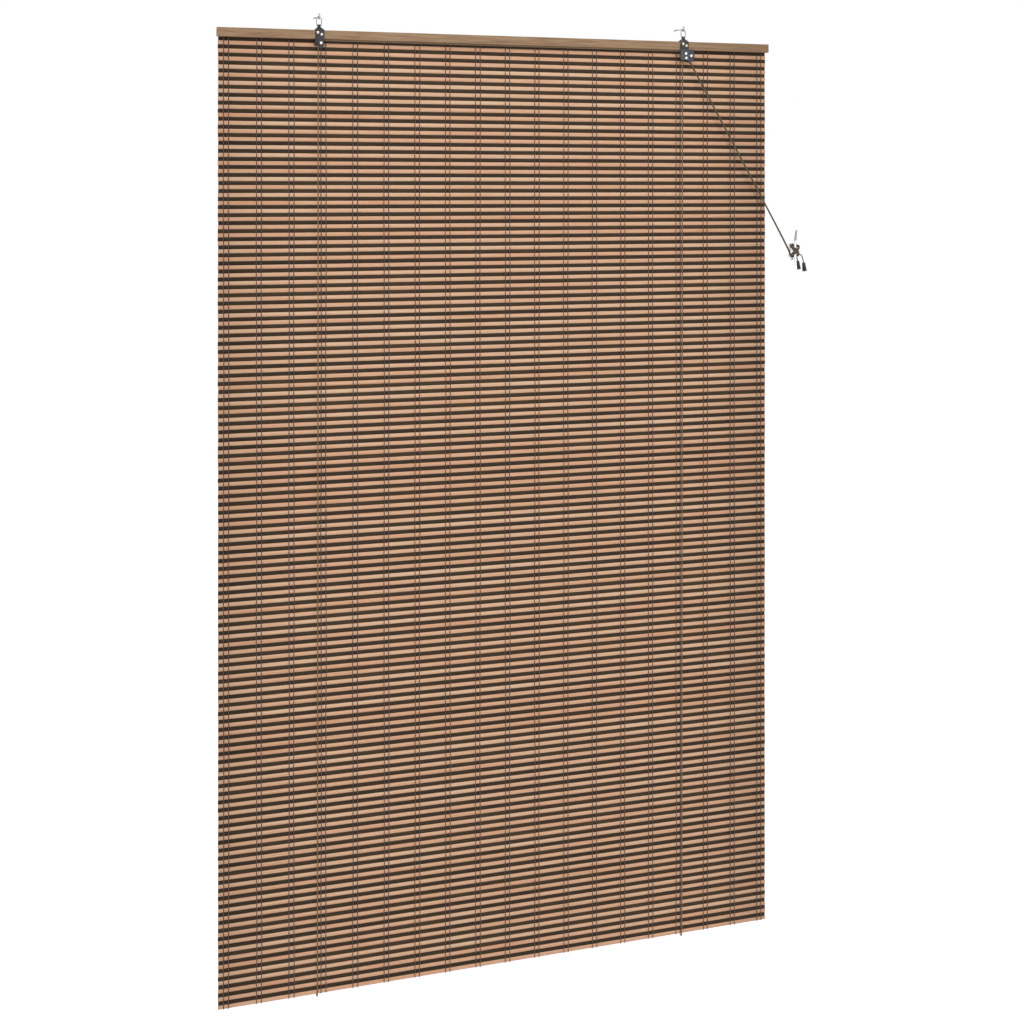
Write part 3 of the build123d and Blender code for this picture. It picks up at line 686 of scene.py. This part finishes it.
def cane_rows(name, front, back, top, bottom, crown, material, spread):
    """Row after row of split cane between two depths, each a rounded section carried along X.

    The section is a superellipse whose lower front falls away by the crown times the square of the way down.
    Along X each row wanders in height by two slow sines of its own and in depth by one, and its size and
    length differ a little.
    """
    sides = 12
    stations = np.linspace(-1, 1, 6)
    slow_wave, quick_wave, depth_wave = 0.1 * MM, 0.05 * MM, 0.06 * MM
    slow_rate, quick_rate, depth_rate = 2.2, 5.1, 3.0
    squareness, fall_from, uneven_ends = 0.5, 0.25, 0.9
    angle = circle(sides) + np.pi / sides
    across = rounded(np.cos(angle), squareness)
    upright = rounded(np.sin(angle), squareness)
    fall = crown * np.clip(fall_from - upright, 0, None) ** 2 * (across < 0)
    size = 1 + spread * rng.uniform(-1, 1, (ROWS, 1, 1))
    phase = rng.uniform(0, 2 * np.pi, (3, ROWS, 1))
    wander = slow_wave * np.sin(slow_rate * stations[None] + phase[0])
    wander = wander + quick_wave * np.sin(quick_rate * stations[None] + phase[1])
    half = (mat_high.x - mat_low.x) / 2 - rng.uniform(0, uneven_ends, (ROWS, 1)) * MM
    x = half * stations[None]
    middle = WEAVE_TOP - np.arange(ROWS) * PITCH - (top + bottom) / 2
    z = middle[:, None, None] + wander[:, :, None] + upright * size * (bottom - top) / 2
    depth = (front + back) / 2 + depth_wave * np.sin(depth_rate * stations[None] + phase[2])
    y = depth[:, :, None] + (across * (back - front) / 2 + fall)
    grid = np.stack(np.broadcast_arrays(x[:, :, None], y, z), -1)
    tone = np.broadcast_to(rng.uniform(0, 1, (ROWS, 1, 1)), grid.shape[:3])
    piece(name, grid, shut_faces(grid), "blind", material, ["bamboo_mat"], tone=tone)


def mat():
    """Light slats and dark sticks laid in turn; the sticks lie back a little and lap the slats' edges."""
    slat_top = STICK_HEIGHT + 2 * WEAVE_GAP
    slat_bottom = slat_top + SLAT_HEIGHT
    slats = (MAT_FRONT, MAT_BACK, slat_top, slat_bottom, SLAT_CROWN)
    cane_rows("light_slats", *slats, slat_cane, SLAT_SPREAD)
    front, back = MAT_FRONT + STICK_FRONT_RECESS, MAT_BACK - STICK_BACK_RECESS
    sticks = (front, back, -STICK_LAP, slat_top + STICK_LAP, STICK_CROWN)
    cane_rows("dark_sticks", *sticks, stick_cane, 0.0)


def warp_threads(name, over, under, top, replaced):
    """Twisted threads down the mat: over each slat at one depth, drawn in at each stick towards another.

    Depth along the drop is the square of a raised cosine of the place within a row. Sideways each thread
    sways by two sines of its own.
    """
    steps, sides = 4, 5
    half_width, half_thickness = 0.8 * MM, 0.3 * MM
    stick_middle = 0.2
    slow_sway, quick_sway = 0.35 * MM, 0.2 * MM
    slow_rate, quick_rate = 9.0, 31.0
    x = (PAIR_PLACES[:, None] + np.array([-0.5, 0.5]) * PAIR_SPACING).ravel()
    drop = np.arange(ROWS * steps + 1) / steps
    inward = 0.5 + 0.5 * np.cos(2 * np.pi * (drop - stick_middle))
    path_y = over + (under - over) * inward**2
    path_z = WEAVE_TOP - drop * PITCH
    if top > WEAVE_TOP:
        path_y = np.append(over, path_y)
        path_z = np.append(top, path_z)
    phase = rng.uniform(0, 2 * np.pi, (len(x), 1))
    sway = slow_sway * np.sin(path_z[None] * slow_rate + phase)
    sway = sway + quick_sway * np.sin(path_z[None] * quick_rate + 2 * phase)
    angle = circle(sides)
    ring_x = half_width * np.cos(angle)
    ring_y = half_thickness * np.sin(angle)
    across = (x[:, None] + sway)[:, :, None] + ring_x
    grid = np.stack(np.broadcast_arrays(across, path_y[None, :, None] + ring_y, path_z[None, :, None]), -1)
    chart = np.stack(np.broadcast_arrays(path_z[None, :, None], both_ways(sides), x[:, None, None])[:2], -1)
    piece(name, grid, shut_faces(grid), "blind", warp_twist, replaced, uv=chart)


def stick_ties():
    """Short dark ties between each pair of threads on every stick: flat bars with thicker middles."""
    half_length, half_height, half_thickness = 2.4 * MM, 1.9 * MM, 0.42 * MM
    below_row, behind_front, unevenness = 3.0 * MM, 0.62 * MM, 0.35
    share = np.array([-1.0, 0.0, 1.0])
    swell = np.array([0.6, 1.0, 0.6])[:, None]
    angle = circle(6)
    jitter = (rng.uniform(-unevenness, unevenness, (ROWS, THREAD_PAIRS)) * MM)[:, :, None, None]
    x = PAIR_PLACES[None, :, None, None] + jitter + (half_length * share)[:, None]
    y = MAT_FRONT + behind_front + half_thickness * swell * np.sin(angle)
    z = (WEAVE_TOP - np.arange(ROWS) * PITCH - below_row)[:, None, None, None]
    z = z + jitter + half_height * swell * np.cos(angle)
    grid = np.stack(np.broadcast_arrays(x, y, z), -1)
    piece("stick_ties", grid, shut_faces(grid), "blind", tie_dark)


# Hanging hardware


def hook(side, x):
    """Screw hook: a threaded shank along Y, a tight bend down and an open curl about the shank's line.

    The radius along the shank is the wire's less a ridge that follows the sine of the way along minus the
    way round, and it narrows to the point.
    """
    bend, curl, wire = 1.7 * MM, 3.8 * MM, 1.4 * MM
    in_wall, point, ridge_pitch = 32.0 * MM, 6.0 * MM, 1.5 * MM
    ridges_end, ridges_fade, ridge_depth = 25.0 * MM, 2.0 * MM, 0.24
    sides, curl_turn = 14, math.radians(265.0)
    first = math.asin(bend / (curl + bend))
    corner = HOOK_DEPTH + (curl + bend) * math.cos(first)
    shank = np.linspace(in_wall, corner, 190)[:-1]
    turn = np.linspace(0, math.pi / 2 - first, 8)[:-1]
    loop = np.linspace(first, curl_turn, 40)
    y = np.concatenate([shank, corner - bend * np.sin(turn), HOOK_DEPTH + curl * np.cos(loop)])
    z = np.concatenate([0 * shank, bend * (np.cos(turn) - 1), -curl * np.sin(loop)])
    path = np.column_stack([np.full(len(y), x), y, z])
    along = np.concatenate([in_wall - shank, np.ones(len(y) - len(shank))])[:, None]
    ridge = np.sin(2 * np.pi * along / ridge_pitch - circle(sides)) * 0.5 - 0.5
    threaded = np.clip((ridges_end - along) / ridges_fade, 0, 1)
    pointed = np.clip(along / point, 0.08, 1)
    radius = wire * pointed * (1 + ridge_depth * threaded * ridge)
    blunt = np.ones(len(y))
    blunt[-3:] = (0.97, 0.82, 0.5)
    points = tube_points(path, radius * blunt[:, None], sides)
    replaced = [f"{side}_screw_hook"]
    piece(f"{side}_hook", points, shut_faces(points), "blind", bright_zinc, replaced)


def ring(side, x):
    """Long wire ring: the wire's circle carried round two half circles joined by straight sides."""
    steps, sides = 48, 12
    wire = 0.9 * MM
    low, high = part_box(f"{side}_ring")
    middle = (low + high) / 2
    angle = ((np.arange(steps) + 0.5) * (2 * np.pi / steps))[:, None]
    around = circle(sides)[None]
    reach = (high.x - low.x) / 2 - wire + wire * np.cos(around)
    straight = (high.z - low.z - high.x + low.x) / 2
    rise = reach * np.sin(angle) + straight * np.sign(np.sin(angle))
    grid = np.broadcast_arrays(x + reach * np.cos(angle), middle.y + wire * np.sin(around), middle.z + rise)
    faces = grid_faces(1, steps, sides, looped=True).tolist()
    replaced = [f"{side}_ring"]
    piece(f"{side}_wire_ring", np.stack(grid, -1), faces, "blind", bright_zinc, replaced)


def rivet(node, name):
    """Rivet turned about Y: a domed head in front, a plain pin and a spread tail behind."""
    head_radius, pin_radius, tail_radius, rim_radius = 2.4 * MM, 1.5 * MM, 2.2 * MM, 1.8 * MM
    head_height, tail_height, tail_edge, pole = 0.9 * MM, 0.6 * MM, 0.3 * MM, 0.2 * MM
    low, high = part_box(node)
    x, z = (low.x + high.x) / 2, (low.z + high.z) / 2
    rise = np.linspace(0, math.pi / 2, 6)
    head = np.column_stack([head_radius * np.sin(rise), low.y + head_height * (1 - np.cos(rise))])
    head[0, 0] = pole
    body = [
        (head_radius, low.y + head_height),
        (pin_radius, low.y + head_height),
        (pin_radius, high.y - tail_height),
        (tail_radius, high.y - tail_height),
        (tail_radius, high.y - tail_edge),
        (rim_radius, high.y),
        (pole, high.y),
    ]
    points = lathe_points(np.concatenate([head, body]), 20, (x, 0.0, z), (0, 1, 0))
    piece(name, points, shut_faces(points), "blind", nickel, [node])


def screw_heads():
    """Pan-head screws on plain shanks: a dome over the radius, cut by a cross that ends short of the rim."""
    sides, twist = 32, 0.4
    head_radius, shank_radius, length = 2.5 * MM, 1.4 * MM, 9.0 * MM
    head_height, dome_height, recess = 1.4 * MM, 1.35 * MM, 0.7 * MM
    arm_half, arm_edge, arm_reach, arm_fade = 0.15, 0.05, 0.62, 0.12
    offsets = np.array([(-3.5, -4.2), (3.0, -7.2)]) * MM
    units = np.array([(-UNIT_X, rail_high.z), (UNIT_X, rail_high.z)])
    places = (units[:, None] + offsets).reshape(-1, 2)
    low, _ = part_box("bracket_screws")
    rim = low.y + head_height
    share = np.array([0.04, 0.14, 0.24, 0.34, 0.44, 0.54, 0.66, 0.8, 0.92, 1.0])[:, None]
    angle = circle(sides)[None] + twist
    across, upright = share * np.cos(angle), share * np.sin(angle)
    dome = dome_height * np.sqrt(np.clip(1 - 0.97 * share**2, 0, None))
    arm = np.minimum(np.abs(across), np.abs(upright))
    cross = np.clip((arm_half - arm) / arm_edge, 0, 1) * np.clip((arm_reach - share) / arm_fade, 0, 1)
    face = np.stack([head_radius * across, rim - dome + recess * cross, head_radius * upright], -1)
    flat = np.full(sides, rim)
    skirt = np.stack([head_radius * across[-1], flat, head_radius * upright[-1]], -1)[None]
    neck = np.stack([shank_radius * across[-1], flat, shank_radius * upright[-1]], -1)[None]
    tip = neck + np.array([0.0, length, 0.0])
    one = np.concatenate([face, skirt, neck, tip])
    grid = one[None] + np.column_stack([places[:, 0], 0 * places[:, 0], places[:, 1]])[:, None, None]
    piece("strap_screws", grid, shut_faces(grid), "blind", screw_plate, ["bracket_screws"])


def cleat():
    """Cast cleat of three closed shells: a bar that thins towards both horns, a base and a post.

    The bar stands off by the square of the way along. The base is a circle drawn out along Z, level by
    level. The post is a superellipse whose width swells at its foot and, less, at its head.
    """
    share = np.linspace(-1, 1, 41)
    span, lift, tip = 39.0 * MM, 14.0 * MM, 20.0 * MM
    path = CLEAT_MIDDLE + np.column_stack([0 * share, -lift - (tip - lift) * share**2, span * share])
    bar_radius, bar_taper, tip_radius, tip_end = 3.1, 1.5, 1.45, 0.4
    size = (bar_radius - bar_taper * np.abs(share) ** 0.9) * MM
    size[[0, -1]] = tip_end * MM
    size[[1, -2]] = tip_radius * MM
    bar = tube_points(path, size, 20)

    half_width, drawn_out, thickness = 5.5, 12.5, 3.0
    angle = circle(28)[None]
    level = np.array([0.0, 0.15, 0.75, 0.95, 1.0, 1.0])[:, None]
    reach = np.array([1.0, 1.0, 1.0, 0.96, 0.88, 0.5])[:, None]
    side = np.cos(angle) * half_width * reach
    up = np.sin(angle) * half_width * reach + np.sign(np.sin(angle)) * drawn_out * reach
    base = CLEAT_MIDDLE + np.stack(np.broadcast_arrays(side, -thickness * level, up), -1) * MM

    post_foot, post_rise, post_width, post_height = -2.6, 11.0, 2.9, 5.0
    foot_swell, head_swell, squareness = 0.45, 0.18, 0.75
    rise = np.linspace(0, 1, 9)[:, None]
    waist = 1 + foot_swell * (1 - rise) ** 3 + head_swell * rise**4
    rounder = rounded(np.cos(angle), squareness)
    taller = rounded(np.sin(angle), squareness)
    post = [post_width * waist * rounder, post_foot - post_rise * rise, post_height * waist * taller]
    post = CLEAT_MIDDLE + np.stack(np.broadcast_arrays(*post), -1) * MM

    points, faces, start = [], [], 0
    for shell in (bar, base, post):
        faces += shut_faces(shell, start)
        points.append(shell.reshape(-1, 3))
        start += shell.shape[0] * shell.shape[1]
    piece("wall_cleat", np.concatenate(points), faces, "blind", cast_plate_painted_shade, ["cord_cleat"])


def cleat_screw_heads():
    """Countersunk screws turned about Y: a flat head with a shallow dish, a cone, a neck and a shank."""
    half_spacing, ridges = 12.0 * MM, np.arange(14)
    head = [(0.2, -2.6), (1.2, -2.6), (1.4, -3.0), (2.9, -3.02), (3.0, -2.95)]
    neck = [(1.9, -1.9), (1.9, 0.0), (1.6, 0.0)]
    shank = np.column_stack([1.6 - 0.35 * (ridges % 2), 0.5 + 0.75 * ridges])
    profile = np.concatenate([head, neck, shank, [(0.3, 12.0)]]) * MM
    low = lathe_points(profile, 18, (CLEAT_X, 0.0, CLEAT_Z - half_spacing), (0, 1, 0))
    high = lathe_points(profile, 18, (CLEAT_X, 0.0, CLEAT_Z + half_spacing), (0, 1, 0))
    grid = np.stack([low, high])
    piece("cleat_fixings", grid, shut_faces(grid), "blind", nickel, ["cleat_screws"])


# Stage


def seen_directly(tree):
    """Value of 1 for what the camera sees, straight or in metal or glass, and 0 for light on the blind."""
    path = tree.nodes.new("ShaderNodeLightPath")
    seen = math_node(tree, "MAXIMUM", path.outputs["Is Camera Ray"], path.outputs["Is Glossy Ray"])
    return math_node(tree, "MAXIMUM", seen, path.outputs["Is Transmission Ray"])


def floor():
    """Pale floor below the blind, lifted towards white where it is seen, with the blind's shadow kept."""
    half_side, below_blind, lift = 6.0, 0.06, 0.6
    material, tree, shader = finish("pale_floor", 0.0, 0.9)
    shader.inputs["Base Color"].default_value = (0.93, 0.93, 0.93, 1.0)
    shader.inputs["Specular IOR Level"].default_value = 0.0
    glow = tree.nodes.new("ShaderNodeEmission")
    glow.inputs["Strength"].default_value = lift
    both = tree.nodes.new("ShaderNodeAddShader")
    tree.links.new(shader.outputs[0], both.inputs[0])
    tree.links.new(glow.outputs[0], both.inputs[1])
    choice = tree.nodes.new("ShaderNodeMixShader")
    tree.links.new(seen_directly(tree), choice.inputs[0])
    tree.links.new(shader.outputs[0], choice.inputs[1])
    tree.links.new(both.outputs[0], choice.inputs[2])
    tree.links.new(choice.outputs[0], tree.nodes["Material Output"].inputs[0])
    corners = np.array([(-1, -1), (1, -1), (1, 1), (-1, 1)]) * half_side
    height = np.full(4, cad_box[0][2] - below_blind)
    mesh = bpy.data.meshes.new("floor")
    mesh.from_pydata(np.column_stack([corners, height]).tolist(), [], [(0, 1, 2, 3)])
    mesh.materials.append(material)
    obj = bpy.data.objects.new("floor", mesh)
    bpy.context.scene.collection.objects.link(obj)


def surround():
    """White surround where it is seen, that lights the blind less than it shows."""
    world = bpy.data.worlds.new("surround")
    bpy.context.scene.world = world
    world.use_nodes = True
    tree = world.node_tree
    back = tree.nodes["Background"]
    back.inputs["Color"].default_value = (1.0, 1.0, 1.0, 1.0)
    light, white = 0.42, 1.0
    tree.links.new(range_node(tree, seen_directly(tree), 0.0, 1.0, light, white), back.inputs["Strength"])


def lamps():
    """Soft square lamps above left and right, in front and behind, each turned to its target."""
    # Name, place, target, side in metres, power in watts
    for name, place, target, size, power in [
        ("left_above", (-2.6, -3.6, 2.2), (-1.0, 0.0, -1.1), 2.5, 92.0),
        ("right_above", (2.8, -3.6, 2.2), (0.9, 0.0, -1.1), 2.5, 82.0),
        ("front", (-0.6, -5.2, -1.8), (-0.4, 0.0, -1.3), 3.0, 48.0),
        ("behind", (0.4, 4.0, 1.6), (0.0, 0.0, -0.9), 3.0, 60.0),
    ]:
        data = bpy.data.lights.new(name, "AREA")
        data.size = size
        data.energy = power
        obj = bpy.data.objects.new(name, data)
        aim = np.array(target) - np.array(place)
        flat = math.hypot(aim[0], aim[1])
        obj.rotation_euler = (math.atan2(flat, -aim[2]), 0.0, math.atan2(-aim[0], aim[1]))
        obj.location = place
        bpy.context.scene.collection.objects.link(obj)


camera()
lift_cords()
pull_cords()
mat()
proud = 0.25 * MM
front_threads = (MAT_FRONT - proud, MAT_FRONT + 0.45 * MM, WEAVE_TOP)
back_threads = (MAT_BACK + proud, MAT_BACK - 0.1 * MM, WEAVE_TOP + THREAD_RISE)
warp_threads("front_threads", *front_threads, ["warp_threads_front"])
warp_threads("back_threads", *back_threads, ["warp_threads_back"])
stick_ties()
for side, sign in (("left", -1), ("right", 1)):
    hook(side, sign * UNIT_X)
    ring(side, sign * UNIT_X)
for place in ("left_pulley", "lock_pulley", "lock_guide", "lock_cam"):
    rivet(f"{place}_pin", f"{place}_rivet")
screw_heads()
cleat()
cleat_screw_heads()
floor()
surround()
lamps()
bpy.context.scene.view_settings.view_transform = "Standard"
